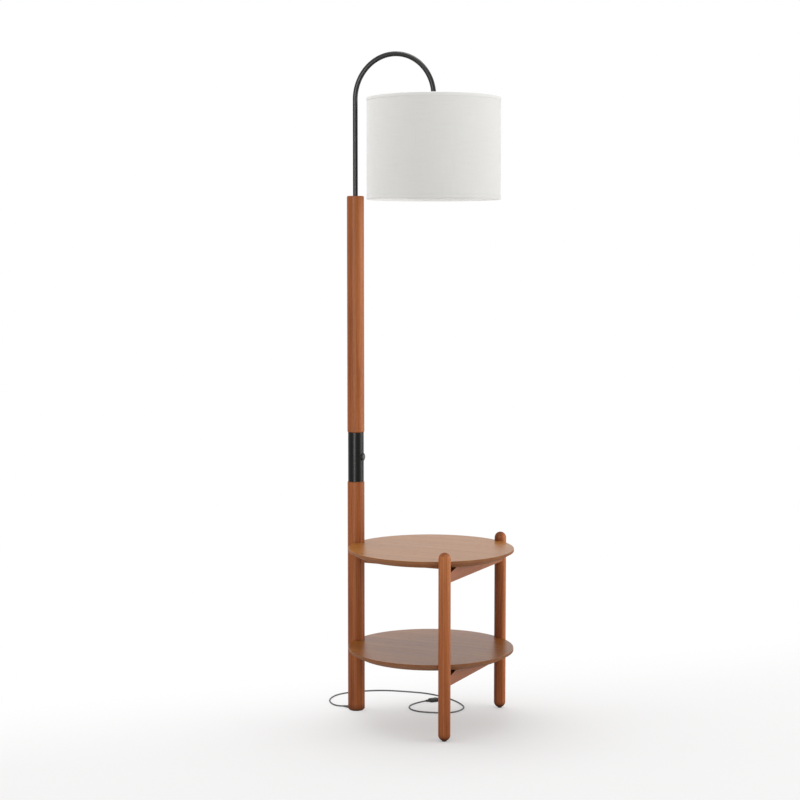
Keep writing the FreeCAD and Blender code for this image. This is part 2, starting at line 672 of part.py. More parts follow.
def make_shade_layers():
    """Cloth drum glued on a stiff liner, both between the two hems."""
    low = "shade_base + hem_thick + layer_gap"
    high = "shade_top - hem_thick - layer_gap"
    for label, outer, thick in (("shade_cloth", "cloth_r", "cloth_thick"),
                                ("shade_liner", "liner_r", "liner_thick")):
        hung_piece(label, tube_corners("%s - %s" % (outer, thick), outer, low, high))


def make_hems():
    """Cloth folded over each wire ring; the upper fold ends above the spokes."""
    inner = "wire_r - wire_dia / 2 - layer_gap - hem_thick"
    for label, edge, way, lap in (("shade_top_hem", "shade_top", "-", "wire_in"),
                                  ("shade_bottom_hem", "shade_base", "+", "hem_lap")):
        hung_piece(label, [
            ("shade_r", edge), ("shade_r", "%s %s hem_high" % (edge, way)),
            ("shade_r - hem_thick", "%s %s hem_high" % (edge, way)),
            ("shade_r - hem_thick", "%s %s hem_thick" % (edge, way)),
            (inner + " + hem_thick", "%s %s hem_thick" % (edge, way)),
            (inner + " + hem_thick", "%s %s %s" % (edge, way, lap)),
            (inner, "%s %s %s" % (edge, way, lap)), (inner, edge)])


def make_wires():
    """Round wire ring inside each hem."""
    for label, height in (("shade_top_wire", "shade_top - wire_in"),
                          ("shade_bottom_wire", "shade_base + wire_in")):
        body = new_body(label, x="shade_x", z=height)
        section = new_sketch(body, label + "_section", "XZ_Plane")
        draw_circle(section, "wire_r", "0", "wire_dia")
        ring = body.newObject("PartDesign::Revolution", label + "_ring")
        ring.Profile = section
        ring.ReferenceAxis = (section, ["V_Axis"])
        ring.Angle = 360
        body.Tip = ring
    doc.recompute()


def make_spider():
    """Flat ring with bent wire spokes that rise to the top wire, one spoke patterned round."""
    level = "cap_base - fitter_thick / 2"
    body = turn_piece("shade_spider", tube_corners(
        "holder_r + slide_gap", "fitter_dia / 2", "-fitter_thick / 2", "fitter_thick / 2"),
        x="shade_x", z=level)
    start = "clamp_dia / 2 + joint_gap"
    rise = "shade_top - wire_in - wire_dia / 2 - cap_base + fitter_thick / 2"
    far = "wire_r - wire_dia / 2 - joint_gap"
    path = new_sketch(body, "spoke_path", "XZ_Plane")
    spots = [(start, "0"), (start + " + spoke_flat", "0"), (far, rise)]
    lines = []
    for (x1, y1), (x2, y2) in zip(spots, spots[1:]):
        near = FreeCAD.Vector(value(x1), value(y1), 0)
        end = FreeCAD.Vector(value(x2), value(y2), 0)
        lines.append(path.addGeometry(Part.LineSegment(near, end)))
    path.addConstraint(Sketcher.Constraint("Coincident", lines[0], 2, lines[1], 1))
    hold_point(path, lines[0], 1, *spots[0])
    hold_point(path, lines[1], 1, *spots[1])
    hold_point(path, lines[1], 2, *spots[2])
    section = new_sketch(body, "spoke_section", "YZ_Plane", start)
    draw_circle(section, "0", "0", "wire_dia")
    spoke = body.newObject("PartDesign::AdditivePipe", "spoke")
    spoke.Profile = section
    spoke.Spine = (path, ["Edge1", "Edge2"])
    spoke.Transition = "Right corner"
    body.Tip = spoke
    doc.recompute()
    spread = body.newObject("PartDesign::PolarPattern", "spokes")
    spread.Originals = [spoke]
    spread.Axis = (path, ["V_Axis"])
    spread.Angle = 360
    bind(spread, Occurrences="spoke_count")
    body.Tip = spread
    doc.recompute()


# ---- table ----

def make_legs():
    """Round legs with a domed top and a rounded foot."""
    foot_mid = "pad_thick + sqrt(leg_r * leg_r - leg_foot * leg_foot / 4)"
    for label, side, offset in (("leg_front", "-leg_y", "dowel_depth - leg_r"),
                                ("leg_rear", "leg_y", "leg_r - dowel_depth")):
        body = turn_piece(label, [
            ("0", "pad_thick"), ("leg_foot / 2", "pad_thick"), ("leg_r", foot_mid),
            ("leg_r", "leg_top - leg_r"), ("0", "leg_top")],
            arcs={1: ("0", foot_mid, 1), 3: ("0", "leg_top - leg_r", 1)}, x="leg_x", y=side)
        holes = [("0", "%s - shelf_thick - rail_high + %s" % (top, rise))
                 for top in ("upper_top", "lower_top") for rise in dowel_rises()]
        drill(body, label + "_holes", "XZ_Plane", holes, "dowel_hole",
              offset=offset, length="leg_r", reverse=label == "leg_rear")
    pads = [cylinder("leg_pad_" + name, "leg_foot", "pad_thick", "leg_x", side, "0")
            for name, side in (("front", "-leg_y"), ("rear", "leg_y"))]
    group("leg_pads", pads)


def make_shelf(label, top):
    """Round shelf with an upright edge, a bevel underneath and notches for post and legs."""
    radius = "shelf_dia / 2"
    body = turn_piece(label, [
        ("0", "-shelf_thick"), (radius + " - shelf_bevel", "-shelf_thick"),
        (radius, "-shelf_edge"), (radius, "0"), ("0", "0")], x="table_x", z=top)
    round_edges(body, "eased_corner", "Fillet", "shelf_ease", lambda edge:
                flat_circle(edge, 0, value(radius)))
    drill(body, "post_notch", "XY_Plane", [("-table_x", "0")], "post_dia + 2 * joint_gap")
    drill(body, "leg_notches", "XY_Plane", [("leg_x - table_x", "leg_y"), ("leg_x - table_x", "-leg_y")],
          "leg_dia + 2 * joint_gap")
    depth = "screw_long + screw_sink - rail_high + joint_gap"
    holes = [("%s - table_x" % x, y) for x, y in screw_spots()]
    drill(body, "screw_holes", "XY_Plane", holes, "screw_dia + 2 * slide_gap",
          offset="-shelf_thick", length=depth, reverse=True)


def screw_spots():
    """Screws of one shelf: two in the long rail and two in the cross rail."""
    return (("screw_near", "0"), ("screw_far", "0"), ("leg_x", "screw_side"), ("leg_x", "-screw_side"))


def pad_rail(body, role, corners):
    sketch = new_sketch(body, "rail_side", role)
    draw_outline(sketch, corners)
    rail = body.newObject("PartDesign::Pad", "rail_bar")
    rail.Profile = sketch
    rail.Midplane = True
    bind(rail, Length="rail_thick")
    body.Tip = rail
    doc.recompute()


def bore_screw_pockets(body, holes):
    """Clearance hole and head pocket, drilled from below."""
    drill(body, "screw_ways", "XY_Plane", holes, "screw_dia + 4 * slide_gap", reverse=True)
    drill(body, "head_pockets", "XY_Plane", holes, "pocket_dia", length="screw_sink", reverse=True)


def make_cross_rail(label, top):
    """Rail between the legs: ends hollowed to fit them, upper corners sloped."""
    body = new_body(label, x="leg_x", z=top + " - shelf_thick - rail_high")
    pad_rail(body, "YZ_Plane", [
        ("-leg_y", "0"), ("leg_y", "0"), ("leg_y", "rail_high - clip_high"),
        ("rail_reach", "rail_high - clip_high"), ("rail_reach - clip_long", "rail_high"),
        ("clip_long - rail_reach", "rail_high"), ("-rail_reach", "rail_high - clip_high"),
        ("-leg_y", "rail_high - clip_high")])
    drill(body, "leg_hollows", "XY_Plane", [("0", "-leg_y"), ("0", "leg_y")],
          "leg_dia + 2 * joint_gap", reverse=True)
    holes = [("0", rise) for rise in dowel_rises()]
    for name, offset in (("front", "rail_reach - dowel_depth"), ("rear", "dowel_depth - rail_reach")):
        drill(body, name + "_end_holes", "XZ_Plane", holes, "dowel_hole",
              offset=offset, length="leg_r + dowel_long", reverse=name == "front")
    drill(body, "middle_holes", "YZ_Plane", holes, "dowel_hole",
          offset="dowel_depth - rail_thick / 2", length="rail_thick")
    bore_screw_pockets(body, [("0", "screw_side"), ("0", "-screw_side")])


def make_long_rail(label, top):
    """Rail from the post to the cross rail, hollowed where it meets the post."""
    body = new_body(label, z=top + " - shelf_thick - rail_high")
    end = "leg_x - rail_thick / 2"
    pad_rail(body, "XZ_Plane", [
        ("0", "0"), (end, "0"), (end, "rail_high"), ("post_r + clip_long", "rail_high"),
        ("post_r", "rail_high - clip_high"), ("0", "rail_high - clip_high")])
    drill(body, "post_hollow", "XY_Plane", [("0", "0")], "post_dia + 2 * joint_gap", reverse=True)
    holes = [("0", rise) for rise in dowel_rises()]
    drill(body, "post_end_holes", "YZ_Plane", holes, "dowel_hole",
          offset="post_r + dowel_depth", length="dowel_depth")
    drill(body, "cross_end_holes", "YZ_Plane", holes, "dowel_hole",
          offset=end + " - dowel_depth", length="dowel_depth", reverse=True)
    bore_screw_pockets(body, [("screw_near", "0"), ("screw_far", "0")])


def make_dowels(label, top):
    """Two dowels in each joint of one shelf's rails: at the post, at the T and at both legs."""
    joints = (("post_r - dowel_long / 2", "0", (1, 0, 0)),
              ("leg_x - rail_thick / 2 - dowel_long / 2", "0", (1, 0, 0)),
              ("leg_x", "rail_reach - dowel_long / 2", (0, 1, 0)),
              ("leg_x", "dowel_long / 2 - rail_reach", (0, -1, 0)))
    pins = []
    for x, y, axis in joints:
        for rise in dowel_rises():
            height = "%s - shelf_thick - rail_high + %s" % (top, rise)
            pins.append(cylinder("%s_pin_%d" % (label, len(pins)), "dowel_dia", "dowel_long",
                                 x, y, height, axis))
    group(label, pins)


def cross_recess(name):
    """Two crossed bars that a screwdriver's tip would fill."""
    bars = []
    for way, (length, width) in enumerate((("recess_long", "recess_wide"), ("recess_wide", "recess_long"))):
        bar = doc.addObject("Part::Box", "%s_bar_%d" % (name, way))
        bind(bar, Length=length, Width=width, Height="recess_deep",
             Placement__Base__x="-%s / 2" % length, Placement__Base__y="-%s / 2" % width,
             Placement__Base__z="-screw_head_high")
        bars.append(bar)
    cross = doc.addObject("Part::MultiFuse", name + "_cross")
    cross.Shapes = bars
    return cross


def make_screws(label, top):
    """Pan-head wood screws, each a head with a cross recess, a shank and a point."""
    screws = []
    for number, (x, y) in enumerate(screw_spots()):
        name = "%s_%d" % (label, number)
        head = doc.addObject("Part::Cone", name + "_head")
        bind(head, Radius1="screw_head / 2 - screw_head_high / 2", Radius2="screw_head / 2",
             Height="screw_head_high", Placement__Base__z="-screw_head_high")
        shank = doc.addObject("Part::Cylinder", name + "_shank")
        bind(shank, Radius="screw_dia / 2", Height="screw_long - screw_dia")
        point = doc.addObject("Part::Cone", name + "_point")
        bind(point, Radius1="screw_dia / 2", Radius2="screw_tip / 2", Height="screw_dia",
             Placement__Base__z="screw_long - screw_dia")
        blank = doc.addObject("Part::MultiFuse", name + "_blank")
        blank.Shapes = [head, shank, point]
        screw = doc.addObject("Part::Cut", name)
        screw.Base = blank
        screw.Tool = cross_recess(name)
        bind(screw, Placement__Base__x=x, Placement__Base__y=y,
             Placement__Base__z=top + " - shelf_thick - rail_high + screw_sink")
        screws.append(screw)
    group(label, screws)


# ---- cord, gland, plug and inner leads ----

def rounded_path(points, share, radius=None):
    """Straight runs joined by tangent arcs; returns the wire and the arcs' radii."""
    points = [FreeCAD.Vector(*point) for point in points]
    edges, radii = [], []
    start = points[0]
    for before, corner, after in zip(points, points[1:], points[2:]):
        back, ahead = (before - corner), (after - corner)
        half = (math.pi - back.getAngle(ahead)) / 2
        bend = radius or share * min(back.Length, ahead.Length) / math.tan(half)
        cut = bend * math.tan(half)
        back.normalize()
        ahead.normalize()
        first, last = corner + back * cut, corner + ahead * cut
        inward = (back + ahead).normalize()
        middle = corner + inward * (bend / math.cos(half) - bend)
        if (first - start).Length > TINY:
            edges.append(Part.LineSegment(start, first).toShape())
        edges.append(Part.Arc(first, middle, last).toShape())
        radii.append(bend)
        start = last
    edges.append(Part.LineSegment(start, points[-1]).toShape())
    return Part.Wire(edges), radii


def sweep_round(label, points, diameter, share=0.5, radius=None):
    """Solid round tube along a path; checks its volume against section times length."""
    path, radii = rounded_path(points, share, radius)
    start, along = FreeCAD.Vector(*points[0]), FreeCAD.Vector(*points[1]) - FreeCAD.Vector(*points[0])
    section = Part.Wire(Part.makeCircle(diameter / 2, start, along))
    solid = path.makePipeShell([section], True, True)
    expected = math.pi * diameter ** 2 / 4 * path.Length
    if abs(solid.Volume / expected - 1) > VOLUME_SHARE:
        raise RuntimeError("%s: volume %.0f, expected %.0f" % (label, solid.Volume, expected))
    item = doc.addObject("Part::Feature", label)
    item.Label = label
    item.Shape = solid
    item.Placement = FreeCAD.Placement()
    nodes.append(item)
    print("%s: length %.1f mm, bend radii %s" % (label, path.Length, [round(bend, 1) for bend in radii]))


def make_cord():
    sweep_round("cord", CORD_ROUTE, value("cord_dia"), BEND_SHARE)


def make_leads():
    """Inner leads: from the gland up to the switch, and from there through the arm."""
    axis, switch = value("gland_axis"), value("switch_z")
    diameter, half = value("cord_dia"), value("switch_high / 2")
    sweep_round("lead_lower", [(-value("gland_inside"), 0, axis), (0, 0, axis), (0, 0, switch - half)],
                diameter, radius=value("lead_turn"))
    bend, spring = value("arm_radius"), value("arm_spring")
    top = spring + bend
    sweep_round("lead_upper", [(0, 0, switch + half), (0, 0, top), (2 * bend, 0, top),
                               (2 * bend, 0, value("holder_roof"))], diameter, radius=bend)


def make_gland():
    """Moulded strain relief: its root fills the slot and it tapers outside the post."""
    turn_piece("cord_gland", [
        ("-gland_outside", "0"), ("-gland_outside", "gland_tip / 2"), ("-post_r", "gland_dia / 2"),
        ("-gland_inside", "gland_dia / 2"), ("-gland_inside", "0")],
        axis="H_Axis", z="gland_axis")


def make_plug():
    """Two-blade plug that lies on the floor in line with the cord's end."""
    last, end = (FreeCAD.Vector(*point) for point in CORD_ROUTE[-2:])
    heading = math.degrees(math.atan2(end.y - last.y, end.x - last.x))
    turn = FreeCAD.Rotation(FreeCAD.Vector(0, 0, 1), heading)
    body = new_body("plug_body", str(end.x), str(end.y), "plug_mid")
    tail = new_sketch(body, "tail_end", "YZ_Plane")
    draw_circle(tail, "0", "0", "plug_tail_dia")
    shoulder = new_sketch(body, "tail_root", "YZ_Plane", "plug_tail")
    draw_circle(shoulder, "0", "0", "plug_root_dia")
    loft = body.newObject("PartDesign::AdditiveLoft", "plug_tail_loft")
    loft.Profile = tail
    loft.Sections = [shoulder]
    body.Tip = loft
    doc.recompute()
    face = new_sketch(body, "plug_face", "YZ_Plane", "plug_tail")
    draw_outline(face, [("-plug_wide / 2", "-plug_thick / 2"), ("plug_wide / 2", "-plug_thick / 2"),
                        ("plug_wide / 2", "plug_thick / 2"), ("-plug_wide / 2", "plug_thick / 2")])
    block = body.newObject("PartDesign::Pad", "plug_block")
    block.Profile = face
    bind(block, Length="plug_long")
    body.Tip = block
    doc.recompute()
    round_edges(body, "plug_edges", "Fillet", "plug_round", lambda edge:
                abs(edge.Length - value("plug_long")) < CLOSE)
    aim(body, turn)
    blades = []
    for number, side in enumerate(("-", "")):
        blade = doc.addObject("Part::Box", "plug_blade_bar_%d" % number)
        bind(blade, Length="blade_long", Width="blade_thick", Height="blade_wide",
             Placement__Base__x="plug_tail + plug_long",
             Placement__Base__y="%sblade_pitch / 2 - blade_thick / 2" % side,
             Placement__Base__z="-blade_wide / 2")
        hole = cylinder("plug_blade_hole_%d" % number, "blade_hole", "blade_wide",
                        "plug_tail + plug_long + blade_long - blade_hole",
                        "%sblade_pitch / 2 - blade_wide / 2" % side, "0", (0, 1, 0))
        cut = doc.addObject("Part::Cut", "plug_blade_%d" % number)
        cut.Base = blade
        cut.Tool = hole
        blades.append(cut)
    pair = group("plug_blades", blades)
    bind(pair, Placement__Base__x=str(end.x), Placement__Base__y=str(end.y), Placement__Base__z="plug_mid")
    aim(pair, turn)


def aim(item, turn):
    item.Placement = FreeCAD.Placement(item.Placement.Base, turn)


def check_all():
    doc.recompute()
    for item in doc.Objects:
        if {"Invalid", "Error"} & set(item.State):
            raise RuntimeError("%s is in state %s" % (item.Name, item.State))
    for node in nodes:
        if node.Shape.isNull() or not node.Shape.isValid():
            raise RuntimeError("%s has no valid shape" % node.Label)


def export_all():
    os.makedirs("parts", exist_ok=True)
    for node in nodes:
        node.Shape.exportStep("parts/%s.step" % node.Label)


fill_sheet()
make_post_lower()
make_post_upper()
make_post_pad()
make_couplers()
make_sleeve()
make_switch_body()
make_bezel()
make_button()
make_arm()
make_arm_bush()
make_nipple()
make_lampholder()
make_clamp_ring()
make_bulb()
make_shade_layers()
make_hems()
make_wires()
make_spider()
make_legs()
for level in ("upper", "lower"):
    make_shelf("shelf_" + level, level + "_top")
    make_cross_rail("cross_rail_" + level, level + "_top")
    make_long_rail("long_rail_" + level, level + "_top")
    make_dowels("rail_dowels_" + level, level + "_top")
    make_screws("shelf_screws_" + level, level + "_top")
make_gland()
make_cord()
make_leads()
make_plug()
check_all()
export_all()
print("%d nodes written" % len(nodes))
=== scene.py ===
import math

import bpy
from mathutils import Matrix, Vector


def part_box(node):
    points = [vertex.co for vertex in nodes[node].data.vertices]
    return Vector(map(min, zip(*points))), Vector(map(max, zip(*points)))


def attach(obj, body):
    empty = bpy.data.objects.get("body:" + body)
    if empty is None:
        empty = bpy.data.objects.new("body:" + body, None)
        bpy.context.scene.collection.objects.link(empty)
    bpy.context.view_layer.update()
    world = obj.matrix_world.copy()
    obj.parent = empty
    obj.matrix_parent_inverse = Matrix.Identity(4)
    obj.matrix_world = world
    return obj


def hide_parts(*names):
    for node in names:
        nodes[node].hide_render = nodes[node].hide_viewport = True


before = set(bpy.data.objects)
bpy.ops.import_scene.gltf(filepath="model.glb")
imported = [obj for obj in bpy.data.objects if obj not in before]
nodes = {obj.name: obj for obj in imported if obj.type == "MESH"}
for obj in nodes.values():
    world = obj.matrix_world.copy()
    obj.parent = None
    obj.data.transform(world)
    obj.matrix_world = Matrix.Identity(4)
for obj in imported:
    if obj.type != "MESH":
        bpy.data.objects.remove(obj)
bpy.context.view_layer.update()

print("frame loaded:", len(nodes), "nodes")


# Shader maths: a Signal is one socket, and an expression on Signals adds its nodes.

class Signal:
    def __init__(self, paint, socket):
        self.paint = paint
        self.socket = socket

    def __add__(self, other):
        return self.paint.maths("ADD", self, other)

    def __radd__(self, other):
        return self.paint.maths("ADD", other, self)

    def __sub__(self, other):
        return self.paint.maths("SUBTRACT", self, other)

    def __rsub__(self, other):
        return self.paint.maths("SUBTRACT", other, self)

    def __mul__(self, other):
        return self.paint.maths("MULTIPLY", self, other)

    def __rmul__(self, other):
        return self.paint.maths("MULTIPLY", other, self)

    def __pow__(self, other):
        return self.paint.maths("POWER", self, other)


class Paint:
    def __init__(self, name, owner=None):
        self.owner = owner or bpy.data.materials.new(name)
        self.owner.use_nodes = True
        self.tree = self.owner.node_tree
        self.tree.nodes.clear()

    def add(self, kind, settings=None, sockets=None, output=0):  # every node is made here
        node = self.tree.nodes.new(kind)
        for key, value in (settings or {}).items():
            if key == "stops":
                self.setStops(node.color_ramp, value)
            else:
                setattr(node, key, value)
        for key, value in (sockets or {}).items():
            if isinstance(value, Signal):
                self.tree.links.new(value.socket, node.inputs[key])
            else:
                node.inputs[key].default_value = value
        return Signal(self, node.outputs[output]) if node.outputs else None

    def setStops(self, ramp, stops):
        while len(ramp.elements) < len(stops):
            ramp.elements.new(0.5)
        for element, (position, colour) in zip(ramp.elements, stops):
            element.position = position
            element.color = (*colour, 1.0)

    def maths(self, operation, *values):
        return self.add("ShaderNodeMath", {"operation": operation}, dict(enumerate(values)))

    def vectorMaths(self, operation, first, second):
        return self.add("ShaderNodeVectorMath", {"operation": operation}, {0: first, 1: second})

    def place(self):  # metres in the frame, since every mesh is written there
        return self.add("ShaderNodeTexCoord", output="Object")

    def axes(self, vector):
        split = self.add("ShaderNodeSeparateXYZ", {}, {0: vector})
        return [Signal(self, socket) for socket in split.socket.node.outputs]

    def distance(self, x, y):
        return (x * x + y * y) ** 0.5

    def stretch(self, vector, scale, shift=(0, 0, 0)):
        return self.vectorMaths("ADD", self.vectorMaths("MULTIPLY", vector, scale), shift)

    def noise(self, vector, scale=1.0, detail=2.0, rough=0.5, output=0):
        sockets = {"Vector": vector, "Scale": scale, "Detail": detail, "Roughness": rough}
        return self.add("ShaderNodeTexNoise", {}, sockets, output)

    def between(self, signal, low, high, outLow=0.0, outHigh=1.0, curve="LINEAR"):
        return self.add("ShaderNodeMapRange", {"clamp": True, "interpolation_type": curve}, {
            "Value": signal, "From Min": low, "From Max": high, "To Min": outLow, "To Max": outHigh})

    def ramp(self, signal, stops):
        return self.add("ShaderNodeValToRGB", {"stops": stops}, {"Fac": signal})

    def blend(self, factor, first, second):  # colours only
        first = (*first, 1.0) if isinstance(first, tuple) else first
        second = (*second, 1.0) if isinstance(second, tuple) else second
        sockets = {0: factor, 6: first, 7: second}  # the sockets of a colour mix
        return self.add("ShaderNodeMix", {"data_type": "RGBA"}, sockets, output=2)

    def bump(self, height, strength, distance):
        sockets = {"Height": height, "Strength": strength, "Distance": distance}
        return self.add("ShaderNodeBump", {}, sockets)

    def finish(self, **sockets):  # baseColor becomes Base Color, and so on
        named = {}
        for key, value in sockets.items():
            words = "".join(" " + letter if letter.isupper() else letter for letter in key)
            name = (words[0].upper() + words[1:]).replace("I O R", "IOR")
            named[name] = (*value, 1.0) if isinstance(value, tuple) else value
        shader = self.add("ShaderNodeBsdfPrincipled", {}, named)
        self.add("ShaderNodeOutputMaterial", {}, {"Surface": shader})
        return self.owner


# Wood: rings round a heart beside the piece, bands, streaks, fibres and pores along the grain, and
# painted light and shade across each piece.

grain = {
    "turns": {"x": (0, -math.pi / 2, 0), "y": (math.pi / 2, 0, 0), "z": (0, 0, 0)},
    "ringPitch": 0.0048,            # metres
    "ringScale": math.tau / 20,     # of the wave node, for one ring a metre
    "ringShare": 0.08,
    "ringSway": 0.022,
    "swayStretch": (5.0, 5.0, 1.1),
    "bandStretch": (62, 62, 1.0),
    "bandShare": 0.46,
    "streakStretch": (150, 150, 5.0),
    "streakShare": 0.42,
    "streakRoughness": 0.10,
    "fibreStretch": (1000, 1000, 17),
    "fibreShare": 0.16,
    "fibreHeight": 0.6,
    "poreStretch": (1700, 1700, 60),
    "poreRange": (0.62, 0.72),
    "poreShare": 0.4,
    "poreRoughness": 0.18,
    "mean": 0.48,                   # of the figure before it is centred
    "middle": 0.52,                 # of the stain's colours
    "bumpStrength": 0.30,
    "bumpDepth": 0.00018,
    "veneerDepth": (0.0009, 0.0003),  # below the top, where the bevel gives way to veneer
    "facingUp": (0.35, 0.90),       # height of the surface's direction at ends and tops
    # down-facing ends get painted shade as well as end-grain stain
    "facingDown": (-0.90, -0.20),
    # painted shade near the floor is full up to this height above a piece's lowest point
    "footShadeStart": 0.003,
    "footLimit": 0.01,              # a piece that starts lower stands on the floor
    "endRoughness": 0.60,           # added where the finish has sunk into end grain
}
stains = {
    "walnut": {
        "colours": [(0.22, (0.100, 0.024, 0.007)), (0.36, (0.205, 0.053, 0.014)),
                    (0.52, (0.345, 0.101, 0.029)), (0.70, (0.475, 0.165, 0.054))],
        "pore": (0.090, 0.021, 0.007), "contrast": 0.9, "roughness": 0.44, "specular": 0.16,
        "sheenTone": (1.0, 0.76, 0.60),
        # end grain takes more stain on tops; down-facing ends and feet get painted shade
        "ends": {"colour": (0.075, 0.020, 0.008), "upper": 0.56, "lower": 0.72,
                 "foot": 0.60, "footShadeHeight": 0.017}},
    "rail": {
        "colours": [(0.36, (0.230, 0.070, 0.022)), (0.52, (0.335, 0.105, 0.034)),
                    (0.70, (0.440, 0.160, 0.058))],
        "pore": (0.100, 0.026, 0.009), "contrast": 0.45, "roughness": 0.42, "specular": 0.19,
        "sheenTone": (1.0, 0.85, 0.75),
        # the rail's top gets painted shade, for the dark gap under the shelf
        "ends": {"colour": (0.066, 0.017, 0.008), "upper": 0.78, "lower": 0.0}},
    "veneer": {
        "colours": [(0.22, (0.122, 0.031, 0.005)), (0.36, (0.197, 0.056, 0.008)),
                    (0.52, (0.297, 0.110, 0.018)), (0.70, (0.384, 0.168, 0.036))],
        "pore": (0.105, 0.030, 0.007), "contrast": 0.5, "roughness": 0.32, "specular": 0.375,
        "sheenTone": (1.0, 0.985, 0.90),
        "edge": "bevel", "edgeRoughness": 0.40},
    "bevel": {
        "colours": [(0.36, (0.180, 0.068, 0.024)), (0.52, (0.255, 0.099, 0.037)),
                    (0.70, (0.330, 0.136, 0.055))],
        "contrast": 0.4},
}
woodPieces = {                # stain, grain's axis, heart of the tree, own lightness lowered as painted shade for pieces in shade, painted light and shade along each axis
    "post_lower": ("walnut", "z", (0.052, 0.031, 0.0), -0.045, (4.2, 2.0, 0.14)),
    "post_upper": ("walnut", "z", (0.047, -0.038, 0.7), 0.02, (5.0, 2.4, 0.0)),
    "leg_front": ("walnut", "z", (-0.290, 0.215, 0.3), 0.00, (2.2, 1.0, 0.28)),
    "leg_rear": ("walnut", "z", (-0.362, -0.140, 1.9), -0.10, (12.0, 5.7, 0.0)),
    "shelf_upper": ("veneer", "x", (0.610, 0.060, 0.0), 0.00),
    "shelf_lower": ("veneer", "x", (0.370, -0.085, 2.6), -0.10),
    "cross_rail_upper": ("rail", "y", (-0.280, 0.460, 0.9), -0.02),
    "cross_rail_lower": ("rail", "y", (-0.350, 0.215, 3.1), -0.07),
    "long_rail_upper": ("rail", "x", (0.455, 0.021, 4.4), -0.10),
    "long_rail_lower": ("rail", "x", (0.200, 0.016, 5.2), -0.10),
}


def drawGrain(paint, axis, heart):
    along = paint.add("ShaderNodeMapping", {"vector_type": "POINT"}, {
        "Vector": paint.place(), "Rotation": grain["turns"][axis], "Location": heart})
    reach = grain["ringSway"]
    sway = paint.noise(paint.stretch(along, grain["swayStretch"]), output=1)
    centred = paint.stretch(sway, (reach, reach, 0), (-reach / 2, -reach / 2, 0))
    moved = paint.vectorMaths("ADD", along, centred)
    rings = paint.add("ShaderNodeTexWave", {
        "wave_type": "RINGS", "rings_direction": "Z", "wave_profile": "SAW"}, {
        "Vector": moved, "Scale": grain["ringScale"] / grain["ringPitch"]}, output=1)
    bands = paint.noise(paint.stretch(moved, grain["bandStretch"]), detail=1)
    streaks = paint.noise(paint.stretch(moved, grain["streakStretch"]), detail=3, rough=0.6)
    fibres = paint.noise(paint.stretch(moved, grain["fibreStretch"]))
    pores = paint.noise(paint.stretch(moved, grain["poreStretch"]), detail=1)
    figure = bands * grain["bandShare"] + streaks * grain["streakShare"]
    figure = figure + fibres * grain["fibreShare"] - rings ** 3 * grain["ringShare"] - grain["mean"]
    return figure, streaks, fibres, paint.between(pores, *grain["poreRange"])


def darkEndsAndShade(paint, ends, place, low):  # end grain takes more stain; down-facing ends and feet near the floor get painted shade, and a rail's top gets painted shade for the dark gap under the shelf
    upright = paint.axes(paint.add("ShaderNodeTexCoord", output="Normal"))[2]
    share = paint.between(upright, *grain["facingUp"], 0.0, ends["upper"])
    share = share + paint.between(upright, *grain["facingDown"], ends["lower"], 0.0)
    if low.z < grain["footLimit"]:    # and feet get painted shade near the floor
        start, end = low.z + grain["footShadeStart"], low.z + ends["footShadeHeight"]
        share = share + paint.between(place[2], start, end, ends["foot"], 0.0)
    return share


def makeWood(name, node, stain, axis, heart, toneAndShade, shadeSlopes=(0.0, 0.0, 0.0)):
    look = stains[stain]
    paint = Paint(name)
    low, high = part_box(node)
    place = paint.axes(paint.place())
    figure, streaks, fibres, pores = drawGrain(paint, axis, heart)
    # the piece's own lightness, lowered as painted shade where the piece stands in shade
    shift = grain["middle"] + toneAndShade
    # painted light and shade: paler towards the piece's lit side, darker towards the floor
    for reading, middle, shadeSlope in zip(place, (low + high) / 2, shadeSlopes):
        if shadeSlope:
            shift = (reading - middle) * shadeSlope + shift
    colour = paint.ramp(figure * look["contrast"] + shift, look["colours"])
    roughness = streaks * grain["streakRoughness"] + pores * grain["poreRoughness"]
    roughness = roughness + (look["roughness"] - grain["streakRoughness"] / 2)
    if "edge" in look:                # the bevel and the underside are solid wood, finished thinner
        start, end = (high.z - depth for depth in grain["veneerDepth"])
        onTop = paint.between(place[2], start, end)
        edge = stains[look["edge"]]
        solid = paint.ramp(figure * edge["contrast"] + shift, edge["colours"])
        colour = paint.blend(onTop, solid, colour)
        roughness = roughness + (1 - onTop) * look["edgeRoughness"]
    # end-grain stain mixed with painted shade on down-facing ends, feet and rail tops
    if "ends" in look:
        share = darkEndsAndShade(paint, look["ends"], place, low)
        colour = paint.blend(share, colour, look["ends"]["colour"])
        roughness = roughness + share * grain["endRoughness"]
    relief = fibres * grain["fibreHeight"] - pores
    return paint.finish(
        baseColor=paint.blend(pores * grain["poreShare"], colour, look["pore"]),
        roughness=roughness,
        specularIORLevel=look["specular"],
        specularTint=look["sheenTone"],
        normal=paint.bump(relief, grain["bumpStrength"], grain["bumpDepth"]))


# Metals, plastics, felt and glass, each with the small unevenness of its making.

